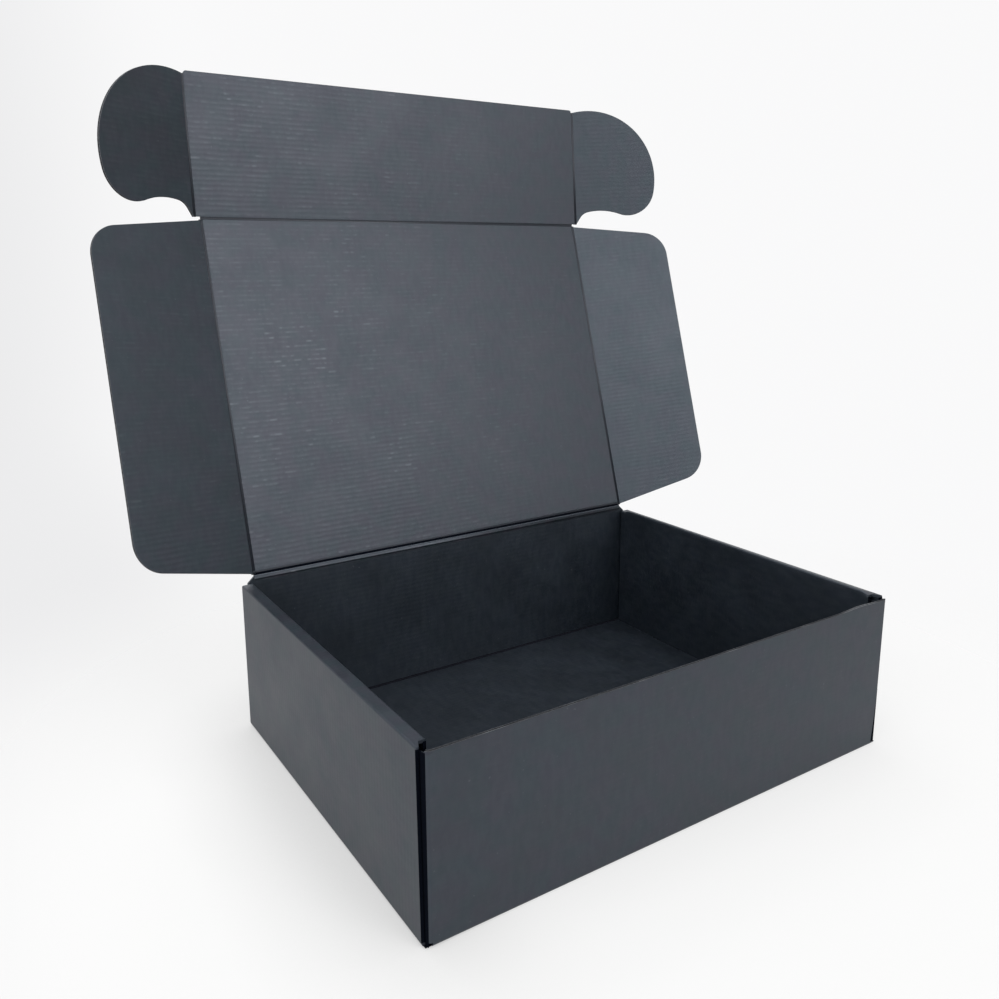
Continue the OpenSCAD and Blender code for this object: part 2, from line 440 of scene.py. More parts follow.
class EffectGroups:
    """Node groups that several finishes share, each built once."""

    def __init__(self) -> None:
        """Builds every group."""
        self.flutes = self._flutes(FluteLook())
        self.paper = self._paper(PaperLook())
        self.tray_sheet = self._tray_sheet(TrayLook())

    @staticmethod
    def _start(name: str, takes: Sequence[str], gives: dict[str, str]) -> tuple:
        """Makes an empty group with named sockets.

        Args:
            name: The group's name.
            takes: Names of the vectors that it takes.
            gives: Names of its outputs, each with its socket type.

        Returns:
            The tree, its builder, its input node's outputs and its output node.
        """
        tree = bpy.data.node_groups.new(name, "ShaderNodeTree")
        for label in takes:
            tree.interface.new_socket(name=label, in_out="INPUT", socket_type=VECTOR)
        for label, kind in gives.items():
            tree.interface.new_socket(name=label, in_out="OUTPUT", socket_type=kind)
        build = NodeBuilder(tree)
        return tree, build, build.add("NodeGroupInput").outputs, build.add("NodeGroupOutput")

    def _flutes(self, look: FluteLook) -> NodeTree:
        """Flute washboard under a liner, with dashes of rubbing and painted sheen on its crests.

        Args:
            look: Their numbers.

        Returns:
            The group, which gives the ripple, the dashes and the patches where both show.
        """
        tree, build, given, made = self._start(
            "flutes_under_liner", ["Place"], {"Ripple": FLOAT, "Dashes": FLOAT, "Patches": FLOAT},
        )
        along, across, _ = build.separate(given["Place"])
        turns = build.math("DIVIDE", across, BOARD.flute_pitch)
        for bend, share in look.bends:
            bent = build.product(build.spread(along, across, bend), share)
            turns = build.math("ADD", turns, bent)
        row = build.math("ROUND", turns)

        def shown(side: Socket, noise: tuple[Spread, Ramp]) -> Socket:
            """A noise's ramp, over the rows of flutes or across them."""
            return build.ramp(build.spread(along, side, noise[0]), *noise[1])

        ripple = build.math("COSINE", build.product(turns, 2 * math.pi))
        bright = build.product(
            shown(row, look.dashes), shown(across, look.dash_patches), look.bright_share,
        )
        dash = build.math("MAXIMUM", shown(row, look.streaks), bright)
        build.feed_all(
            made, Ripple=ripple, Patches=shown(across, look.press_patches),
            Dashes=build.product(dash, build.ramp(ripple, *look.crest)),
        )
        return tree

    def _paper(self, look: PaperLook) -> NodeTree:
        """Mottle of the black stock, its fibres and a few pale specks.

        Args:
            look: Their numbers.

        Returns:
            The group, which gives each as a value.
        """
        tree, build, given, made = self._start(
            "paper_mottle", ["Place"],
            dict.fromkeys(("Cloud", "Grain", "Specks", "Fibres", "Hue"), FLOAT),
        )
        place = given["Place"]
        along, across, _ = build.separate(place)
        build.feed_all(
            made,
            Cloud=build.noise(place, *look.cloud),
            Grain=build.noise(place, *look.grain),
            Specks=build.ramp(build.noise(place, *look.specks[0]), *look.specks[1]),
            Fibres=build.ramp(build.spread(along, across, look.fibres[0]), *look.fibres[1]),
            Hue=build.ramp(build.noise(place, *look.hue[0]), *look.hue[1]),
        )
        return tree

    def _tray_sheet(self, look: TrayLook) -> NodeTree:
        """Place on the flat sheet for each of the tray's walls, its flatness and its inside.

        The flutes run along X in the bottom, front and rear, and upright in the sides.

        Args:
            look: How the walls are told apart.

        Returns:
            The group, which gives the place, a flat mask and a painted-shade mask for inner faces.
        """
        tree, build, given, made = self._start(
            "tray_sheet_place", ["Position", "Normal"],
            {"Place": VECTOR, "Flat": FLOAT, "Inner": FLOAT},
        )
        x, y, z = build.separate(given["Position"])
        normal = build.separate(given["Normal"])
        steep = [build.math("ABSOLUTE", part) for part in normal]
        on_side, on_end = [build.math("GREATER_THAN", part, look.facing) for part in steep[:2]]
        outward = build.math("ADD", build.product(x, normal[0]), build.product(y, normal[1]))
        low = build.product(
            build.math("LESS_THAN", z, look.bottom),
            build.math("GREATER_THAN", normal[2], look.facing),
        )
        steepest = build.math("MAXIMUM", build.math("MAXIMUM", *steep[:2]), steep[2])
        build.feed_all(
            made,
            Place=build.combine(build.either(on_side, z, x), build.either(on_end, z, y)),
            Flat=build.ramp(steepest, *look.flat),
            # Painted shade mask: the walls' inner faces and the bottom's upper face.
            Inner=build.math("MAXIMUM", build.ramp(outward, *look.inward), low),
        )
        return tree


@dataclass(frozen=True)
class BoardFinish:
    """A black corrugated liner: its colour, sheen, flute lines, wear and painted sheen.

    Attributes:
        name: The material's name.
        colour: Colour of the black paper.
        pale_and_sheen: Colour of fibres, specks and crest dashes; the dashes are partly painted
            sheen.
        roughness: Roughness of the paper.
        rough_swing: How far the roughness swings with the clouds.
        rub_gloss: How much smoother a crest's dash is.
        ripple_height: Height of the flutes' washboard.
        dash_share: How strongly the crest dashes of rubbing and painted sheen show.
        speck_share: How strongly the pale specks show.
        fibre_share: How strongly the fibres show.
        cloud_shade: Ramp by which the clouds darken the paper.
        grain_shade: Ramp by which the grain darkens the paper.
        cloud_range: Stretch of the clouds over which the roughness swings.
        cool: Factor on the colour in the cooler patches.
        warm: Factor on the colour in the warmer patches.
        grain_height: Height of the paper's grain.
        painted_sheen_fade: Painted sheen: ramp by which the dashes fade along the flutes, away from
            the light.
        inner: Painted shade: darker colour of the folded tray's inner faces, where less light
            falls.
        ior: Index that sets the sheen's strength.
        sheen_tint: Colour of the sheen.
        coordinates: Where the finish takes its place on the sheet from.
    """

    name: str
    colour: Colour
    pale_and_sheen: Colour = (0.062, 0.066, 0.073)
    roughness: float = 0.5
    rough_swing: float = 0.04
    rub_gloss: float = 0.12
    ripple_height: float = 0.03 * MM
    dash_share: float = 0.5
    speck_share: float = 0.3
    fibre_share: float = 0.09
    cloud_shade: Ramp = (0.3, 0.7, 0.3, 0.0)
    grain_shade: Ramp = (0.3, 0.7, 0.0, 0.12)
    cloud_range: Ramp = (0.25, 0.75)
    cool: Colour = (0.6, 1.0, 0.95)
    warm: Colour = (1.25, 0.87, 1.05)
    grain_height: float = 0.02 * MM
    painted_sheen_fade: Ramp | None = None
    inner: Colour | None = None
    ior: float = 1.55
    sheen_tint: Colour = (0.8, 0.87, 1.0)
    coordinates: Coordinates = Coordinates.SHEET

    def material(self, groups: EffectGroups) -> Material:
        """Builds the finish as a material.

        Args:
            groups: The shared node groups.

        Returns:
            The material.
        """
        made = bpy.data.materials.new(self.name)
        build = NodeBuilder.of(made)
        flat: object = 1.0
        colour: object = self.colour
        if self.coordinates is Coordinates.SHEET:
            place = build.add("ShaderNodeUVMap", uv_map=SHEET_MAP).outputs[0]
        else:
            at = build.add("ShaderNodeTexCoord").outputs
            sheet = build.group(groups.tray_sheet, Position=at["Object"], Normal=at["Normal"])
            place, flat = sheet["Place"], sheet["Flat"]
            # Painted shade: inner faces take the darker inner colour, as less light falls there.
            colour = build.mix(sheet["Inner"], colour, self.inner)
        flutes = build.group(groups.flutes, Place=place)
        paper = build.group(groups.paper, Place=place)
        shown = build.product(flutes["Patches"], flat)
        # Painted sheen: the dashes are strongest on the left of the lid and tuck panel and fade to
        # the right.
        if self.painted_sheen_fade:
            along = build.separate(place)[0]
            shown = build.product(shown, build.ramp(along, *self.painted_sheen_fade))
        # Crest dashes: partly rubbing, partly painted sheen where light catches the crests.
        pale_and_sheen = build.product(flutes["Dashes"], shown, self.dash_share)
        hue = build.mix(paper["Hue"], self.cool, self.warm)
        colour = build.mix(1.0, colour, hue, "MULTIPLY")
        for share, layer in (
            (build.product(paper["Fibres"], self.fibre_share), self.pale_and_sheen),
            (build.ramp(paper["Cloud"], *self.cloud_shade), BLACK),
            (build.ramp(paper["Grain"], *self.grain_shade), BLACK),
            (pale_and_sheen, self.pale_and_sheen),
            (build.product(paper["Specks"], self.speck_share), self.pale_and_sheen),
        ):
            colour = build.mix(share, colour, layer)
        swing = (self.roughness - self.rough_swing, self.roughness + self.rough_swing)
        rough = build.ramp(paper["Cloud"], *self.cloud_range, *swing)
        ripple = build.product(flutes["Ripple"], shown, self.ripple_height)
        build.surface(
            build.math("ADD", ripple, build.product(paper["Grain"], self.grain_height)),
            Base_Color=colour,
            Roughness=build.math("SUBTRACT", rough, build.product(pale_and_sheen, self.rub_gloss)),
            IOR=self.ior,
            Specular_Tint=self.sheen_tint,
        )
        return made


@dataclass(frozen=True)
class CutFinish:
    """Bare fibres where the board is cut, the dark of the flutes behind them, or painted shade.

    Attributes:
        name: The material's name.
        colour: Colour of the fibres.
        roughness: Roughness of the fibres.
        sheen: How much light they throw back.
        shades: Factors on the colour in the darkest and in the palest grain.
        grain: Ramp between those two.
        grain_height: Height of the grain.
        wear_and_highlight: Paler colour of a stretch of wear and painted highlight, if it has one.
        pale_stretch_at: Distance of the middle of that stretch along the edge.
        pale_stretch_reach: Half the length of that stretch.
        pale_stretch_core: Share of that half that is pale all through.
        scuffs_and_glints: Noise of other small pale places, wear and painted highlight, and its
            ramp.
    """

    name: str
    colour: Colour
    roughness: float = 0.85
    sheen: float = 0.5
    shades: Point = (0.75, 1.25)
    grain: Ramp = (0.3, 0.7)
    grain_height: float = 0.05 * MM
    wear_and_highlight: Colour | None = None
    pale_stretch_at: float = 0.0
    pale_stretch_reach: float = 19 * MM
    pale_stretch_core: float = 0.4
    scuffs_and_glints: tuple[Spread, Ramp] = (Spread(50, 0), (0.52, 0.66, 0.0, 0.4))

    def material(self, groups: EffectGroups) -> Material:
        """Builds the finish as a material, mottled by the paper group.

        Args:
            groups: The shared node groups.

        Returns:
            The material.
        """
        made = bpy.data.materials.new(self.name)
        build = NodeBuilder.of(made)
        place = build.add("ShaderNodeUVMap", uv_map=SHEET_MAP).outputs[0]
        paper = build.group(groups.paper, Place=place)
        dark, pale = [[part * shade for part in self.colour] for shade in self.shades]
        colour = build.mix(build.ramp(paper["Grain"], *self.grain), dark, pale)
        # Wear and painted highlight: a paler stretch and small pale places along the edge.
        if self.wear_and_highlight:
            along = build.separate(place)[0]
            away = build.math("ABSOLUTE", build.math("SUBTRACT", along, self.pale_stretch_at))
            core = self.pale_stretch_core * self.pale_stretch_reach
            stretch = build.ramp(away, core, self.pale_stretch_reach, 1.0, 0.0)
            scuffs_and_glints = build.ramp(build.spread(along, along, self.scuffs_and_glints[0]), *self.scuffs_and_glints[1])
            colour = build.mix(build.math("MAXIMUM", stretch, scuffs_and_glints), colour, self.wear_and_highlight)
        build.surface(
            build.product(paper["Grain"], self.grain_height),
            Base_Color=colour, Roughness=self.roughness, Specular_IOR_Level=self.sheen,
        )
        return made


OUTSIDE_COLOUR = (0.0065, 0.0092, 0.0135)
FINISHES = (
    BoardFinish(
        "inner_liner", (0.008, 0.0105, 0.014), ripple_height=0.021 * MM, dash_share=0.95,
        painted_sheen_fade=(-0.14, 0.12, 1.0, 0.2),
    ),
    BoardFinish(
        "flap_inner_liner", (0.0065, 0.0095, 0.013), ripple_height=0.016 * MM, dash_share=0.32,
        sheen_tint=(0.77, 0.87, 1.0),
    ),
    BoardFinish("outer_liner", OUTSIDE_COLOUR, ripple_height=0.014 * MM, dash_share=0.2),
    CutFinish("cut_liner_edge", (0.075, 0.078, 0.086)),
    CutFinish(
        "front_cut_edge", (0.034, 0.036, 0.041), sheen=0.35,
        wear_and_highlight=(0.12, 0.125, 0.135), pale_stretch_at=272.5 * MM,
    ),
    CutFinish("flute_medium", (0.01, 0.011, 0.013), sheen=0.15),
    # Painted shade: darker colour in the crease grooves, where shade falls.
    CutFinish("painted_crease_shade", (0.011, 0.014, 0.021), roughness=0.62, sheen=0.5),
    # Painted shade: near-black for slots, fold hollows and the hinge groove, where little light
    # falls.
    CutFinish("painted_slot_shade", (0.0012, 0.002, 0.0045), roughness=0.95, sheen=0.04),
    # Painted shade: dark line along the inside foot of the front and rear walls.
    CutFinish("painted_foot_shade", (0.005, 0.0055, 0.0095), sheen=0.1),
    BoardFinish(
        "tray_board", OUTSIDE_COLOUR, ripple_height=0.009 * MM, dash_share=0.09, speck_share=0.4,
        # Painted shade: darker colour for the tray's inner faces.
        inner=(0.0002, 0.0028, 0.006), ior=1.61, sheen_tint=(0.78, 0.87, 1.0),
        coordinates=Coordinates.TRAY,
    ),
)


class Finishes:
    """Every material of the box, built once, in lists in the order of Face.

    Attributes:
        board: Materials of the lid and the tuck panel, and of most small pieces.
        flap_board: The same for the flaps and ears, whose inside shows fewer dashes of rubbing and
            painted sheen.
        front_board: The same for the front wall's edge, dark but for a stretch of wear and painted
            highlight.
        tray: The tray's own finish.
        tray_skin: The tray's own finish on every face.
    """

    def __init__(self) -> None:
        """Builds the shared groups and the materials."""
        groups = EffectGroups()
        made = {finish.name: finish.material(groups) for finish in FINISHES}
        self.board = [made[name] for name in (
            "inner_liner", "outer_liner", "cut_liner_edge", "flute_medium", "painted_crease_shade",
            "painted_slot_shade", "painted_foot_shade",
        )]
        self.flap_board = [made["flap_inner_liner"], *self.board[1:]]
        self.front_board = [*self.board[:2], made["front_cut_edge"], *self.board[3:]]
        self.tray = made["tray_board"]
        self.tray_skin = [self.tray] * len(Face)


class MeshDraft:
    """Collects a mesh's vertices and faces, with each vertex's place on the flat sheet."""

    def __init__(self) -> None:
        """Starts an empty draft."""
        self.points: list[Vector] = []
        self.sheet: list[Point] = []
        self.faces: list[tuple[Sequence[int], Face, bool]] = []

    def vertex(self, point: Sequence[float], sheet: Point) -> int:
        """Adds a vertex and returns its number."""
        self.points.append(Vector(point))
        self.sheet.append(sheet)
        return len(self.points) - 1

    def face(self, corners: Sequence[int], kind: Face, smooth: bool = False) -> None:
        """Adds a face by its corners' numbers."""
        self.faces.append((corners, kind, smooth))

    def loft(
        self, rings: Sequence[Sequence[int]], kinds: Sequence[Face], closed: bool = False,
        smooth: bool = False,
    ) -> None:
        """Joins neighbouring rings with quads.

        Args:
            rings: Rings of vertex numbers, all the same length.
            kinds: One material for each pair of neighbouring rings.
            closed: Whether each ring's end joins its start.
            smooth: Whether the quads shade smoothly.
        """
        for first, second, kind in zip(rings, rings[1:], kinds):
            count = len(first)
            for i in range(count if closed else count - 1):
                j = (i + 1) % count
                self.face((first[i], first[j], second[j], second[i]), kind, smooth)

    def build(self, name: str, materials: Sequence[Material]) -> Piece:
        """Makes the object, with its materials and its sheet map.

        Args:
            name: The object's name.
            materials: The materials in the order of Face.

        Returns:
            The object, at the origin.
        """
        mesh = bpy.data.meshes.new(name)
        mesh.from_pydata(self.points, [], [face[0] for face in self.faces])
        for material in materials:
            mesh.materials.append(material)
        for polygon, (_, kind, smooth) in zip(mesh.polygons, self.faces):
            polygon.material_index = kind.value
            polygon.use_smooth = smooth
        layer = mesh.uv_layers.new(name=SHEET_MAP)
        for loop in mesh.loops:
            layer.data[loop.index].uv = self.sheet[loop.vertex_index]
        clean = bmesh.new()
        clean.from_mesh(mesh)
        bmesh.ops.recalc_face_normals(clean, faces=clean.faces)
        clean.to_mesh(mesh)
        clean.free()
        made = bpy.data.objects.new(name, mesh)
        bpy.context.scene.collection.objects.link(made)
        LOG.info("%s: %d faces", name, len(mesh.polygons))
        return made


def arc(centre: Point, radius: float, start: float, end: float, steps: int) -> list[Point]:
    """Points along an arc, both ends included.

    Args:
        centre: The arc's centre.
        radius: Its radius.
        start: Angle of its first point, in degrees.
        end: Angle of its last point, in degrees.
        steps: Number of chords.

    Returns:
        The points, in order.
    """
    turns = [math.radians(start + (end - start) * i / steps) for i in range(steps + 1)]
    return [
        (centre[0] + radius * math.cos(turn), centre[1] + radius * math.sin(turn))
        for turn in turns
    ]


@dataclass
class Outline:
    """A closed outline, counter-clockwise, with a mark on each edge that is cut, not creased."""

    points: list[Point]
    cut: list[bool]

    def mirrored(self) -> "Outline":
        """The outline of the piece on the other side, still counter-clockwise."""
        marks = self.cut[::-1]
        return Outline([(-x, y) for x, y in reversed(self.points)], marks[1:] + marks[:1])

    def refined(self, step: float) -> "Outline":
        """The same outline with cut edges split wherever they cross the flutes.

        Args:
            step: Longest stretch across the flutes within one edge.
        """
        made = Outline([], [])
        for first, second, cut in zip(self.points, self.points[1:] + self.points[:1], self.cut):
            parts = max(1, math.ceil(abs(second[1] - first[1]) / step)) if cut else 1
            for k in range(parts):
                made.points.append(tuple(a + (b - a) * (k / parts) for a, b in zip(first, second)))
                made.cut.append(cut)
        return made

    def inset(self, distance: float) -> list[Point]:
        """The outline moved inwards at its cut edges alone.

        Args:
            distance: How far the cut edges move.

        Returns:
            One point for each of the outline's points.
        """
        lines = []
        for first, second, cut in zip(self.points, self.points[1:] + self.points[:1], self.cut):
            along = (Vector(second) - Vector(first)).normalized()
            inward = Vector((-along.y, along.x)) * (distance if cut else 0.0)
            lines.append((Vector(first) + inward, along))
        moved = []
        for (before, turn), (after, way) in zip(lines[-1:] + lines, lines):
            bend = turn.x * way.y - turn.y * way.x
            if abs(bend) < STRAIGHT:
                moved.append(tuple(after))
                continue
            gap = after - before
            reach = (gap.x * way.y - gap.y * way.x) / bend
            moved.append(tuple(before + turn * reach))
        return moved


@dataclass
class BoardPanel:
    """A flat panel of corrugated board, inside up, with flutes showing at its cut edges.

    Attributes:
        name: The piece's name.
        outline: The panel's outline in its own plane, in metres.
        sheet: Gives a place on the flat sheet for a place on the panel.
    """

    name: str
    outline: Outline
    sheet: Callable[[float, float], Point]

    def __post_init__(self) -> None:
        """Splits the edges finely enough for the flutes' wave."""
        self.outline = self.outline.refined(BOARD.wave_step)

    def build(self, materials: Sequence[Material]) -> Piece:
        """Makes the panel with liners, recess and medium.

        Args:
            materials: The materials in the order of Face.

        Returns:
            The panel, in its own plane.
        """
        draft = MeshDraft()
        half = BOARD.half
        upper = [
            (half, BOARD.lip_inset), (half - BOARD.lip_drop, 0.0),
            (half - BOARD.liner, 0.0), (half - BOARD.liner, BOARD.recess),
        ]
        lower = [(-height, inset) for height, inset in reversed(upper)]
        kinds = [Face.CUT] * 2 + [Face.MEDIUM] * 3 + [Face.CUT] * 2
        rings = []
        for height, inset in upper + lower:
            points = self.outline.inset(inset)
            rings.append([draft.vertex((x, y, height), self.sheet(x, y)) for x, y in points])
        draft.loft(rings, kinds, closed=True)
        draft.face(rings[0], Face.INSIDE)
        draft.face(rings[-1][::-1], Face.OUTSIDE)
        self._add_medium(draft)
        return draft.build(self.name, materials)

    def _add_medium(self, draft: MeshDraft) -> None:
        """Adds the wave of the medium along each run of cut edges."""
        outer = self.outline.inset(BOARD.lip_inset / 2)
        inner = self.outline.inset(BOARD.recess)
        half = BOARD.medium / 2
        for i, cut in enumerate(self.outline.cut):
            if not cut:
                continue
            corners = []
            for k in (i, (i + 1) % len(outer)):
                place = self.sheet(*outer[k])
                turns = place[1] / BOARD.flute_pitch
                height = BOARD.wave_height * math.cos(2 * math.pi * turns)
                section = ((inner[k], half), (outer[k], half), (outer[k], -half), (inner[k], -half))
                corners.append([
                    draft.vertex((*point, height + rise), place) for point, rise in section
                ])
            draft.loft(list(zip(*corners)), [Face.CUT] * 3)


@dataclass
class CreaseStrip:
    """A pressed crease between two panels, bent as it stands at rest.

    Attributes:
        name: The piece's name.
        place: Frame of the crease: X along it, Y away from the parent panel, Z to the inside.
        ends: Start and end along the crease.
        fold: Angle at rest by which the child panel is folded in.
        sheet: Gives a place on the flat sheet for a place on the strip.
        bodies: The parent's and the child's bodies; not used.
        reach: How far the strip goes onto the parent and onto the child.
        groove_at: Distance of the pressed groove from the crease, towards the child.
        groove_spread: Half the groove's width, about.
        groove_shares: Shares of that width with the painted crease shade and with the groove's own.
        groove_face: Material in the middle of the groove, a painted shade.
        ridge: Height of a rounded ridge beside the crease, on the parent's inside.
        ridge_at: Distance of that ridge from the crease, towards the parent.
        ridge_spread: Half the ridge's width, about.
        proud: How far the parent's half stands over the solid that it covers.
        proud_fade: Half the stretch over which it comes down at the crease.
    """

    name: str
    place: Matrix
    ends: Point
    fold: float
    sheet: Callable[[float, float], Point]
    bodies: tuple[str, str]
    reach: Point = (BOARD.crease_half, BOARD.crease_half)
    groove_at: float = 0.0
    groove_spread: float = BOARD.crease_spread
    groove_shares: Point = (1.2, 0.6)
    groove_face: Face = Face.CREASE_SHADE
    ridge: float = 0.0
    ridge_at: float = 1.2 * MM
    ridge_spread: float = 0.65 * MM
    proud: float = 0.0
    proud_fade: float = 0.3 * MM

    def _section(self) -> list[tuple[float, float, Face]]:
        """Cross-section of the strip, inner side first, as distance and height."""
        low, high = -self.reach[0], self.reach[1]
        steps = math.ceil((high - low) / BOARD.crease_step)
        inner = []
        outer = []
        for i in range(steps + 1):
            away = low + (high - low) * i / steps
            off_groove = away - self.groove_at
            share = (away + self.proud_fade) / (2 * self.proud_fade)
            cover = self.proud * (1 - smooth_step(share))
            pressed = BOARD.crease_depth * hump(off_groove, self.groove_spread)
            ridge = self.ridge * hump(away + self.ridge_at, self.ridge_spread)
            bulge = BOARD.crease_bulge * hump(away, 2 * BOARD.crease_spread)
            kind = Face.INSIDE
            # Painted shade: the groove takes darker materials where shade falls in it.
            for width, face in zip(self.groove_shares, (Face.CREASE_SHADE, self.groove_face)):
                if abs(off_groove) < width * self.groove_spread:
                    kind = face
            inner.append((away, BOARD.half - pressed + ridge + cover, kind))
            outer.append((away, -BOARD.half - bulge - cover, Face.OUTSIDE))
        return inner + outer[::-1]

    def _bent(self, along: float, away: float, height: float) -> Vector:
        """Where a point of the flat strip lies once the strip is bent about its crease.

        Args:
            along: Distance along the crease.
            away: Distance from the crease, towards the child.
            height: Height over the middle of the board.

        Returns:
            The point in the shared frame.
        """
        half = BOARD.crease_half
        turn = self.fold * smooth_step((away + half) / (2 * half))
        return self.place @ Vector((
            along,
            away * math.cos(turn) - height * math.sin(turn),
            away * math.sin(turn) + height * math.cos(turn),
        ))

    def build(self, finishes: Finishes) -> None:
        """Makes the strip, bent as it stands at rest."""
        draft = MeshDraft()
        section = self._section()
        rings = [
            [
                draft.vertex(self._bent(along, away, height), self.sheet(along, away))
                for away, height, _ in section
            ]
            for along in self.ends
        ]
        for i, (_, _, kind) in enumerate(section):
            j = (i + 1) % len(section)
            on_face = (kind is Face.OUTSIDE) == (section[j][2] is Face.OUTSIDE)
            corners = (rings[0][i], rings[0][j], rings[1][j], rings[1][i])
            draft.face(corners, kind if on_face else Face.CUT, smooth=on_face)
        draft.face(rings[0], Face.CUT)
        draft.face(rings[1][::-1], Face.CUT)
        made = draft.build(self.name, finishes.board)
        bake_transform(made)


def crease_frame(origin: Vector, away: Vector, inside: Vector) -> Matrix:
    """Frame of a crease.

    Args:
        origin: A point of the crease.
        away: The way out of its parent.
        inside: The inside's normal.

    Returns:
        The frame, with X along the crease.
    """
    columns = Matrix((away.cross(inside), away, inside)).transposed().to_4x4()
    columns.translation = origin
    return columns


@dataclass
class LidSizes:
    """Sizes of the lid's parts as the solids have them, in metres, with angles in degrees."""

    flap_reach: float = 73.5 * MM
    flap_taper: float = 10.3
    flap_corner: float = 19 * MM
    flap_end_gap: float = 1.3 * MM
    panel_start: float = 1.05 * MM
    tuck_height: float = 85.5 * MM
    tuck_corner: float = 1.4 * MM
    tuck_chords: int = 5
    ear_reach: float = 63 * MM
    ear_lift: float = 6.2 * MM
    ear_lobe: float = 20 * MM
    ear_scallop: float = 46 * MM
    ear_throat: float = 10 * MM
    ear_nick: float = 1.2 * MM
    ear_tip_rise: float = 1.2 * MM
    lobe_turn: float = -12
    scallop_turn: float = 249
    throat_turn: float = 100
    chords: int = 24
    hinge_crease: float = 3.2 * MM
    flap_crease_gap: float = 0.9 * MM
    ear_crease_gaps: Point = (-0.3 * MM, 1.6 * MM)


@dataclass
class SideFold:
    """The creases at which the side flaps or the ears fold, on the right and on the left.

    Attributes:
        part: What folds there.
        node: Its node's name, after the side's.
        parent: Node of the panel that carries it.
        carrier: Frame of that panel.
        foot: Middle of that panel's foot.
        axis_x: Distance of each crease from the middle.
        sheet_y: Distance of that foot from the hinge on the flat sheet.
        ends: Where each crease starts and ends over that foot.
        points: Outline of the right one, from the crease's start round to its end.
    """

    part: str
    node: str
    parent: str
    carrier: Matrix
    foot: Vector
    axis_x: float
    sheet_y: float
    ends: Point
    points: list[Point]


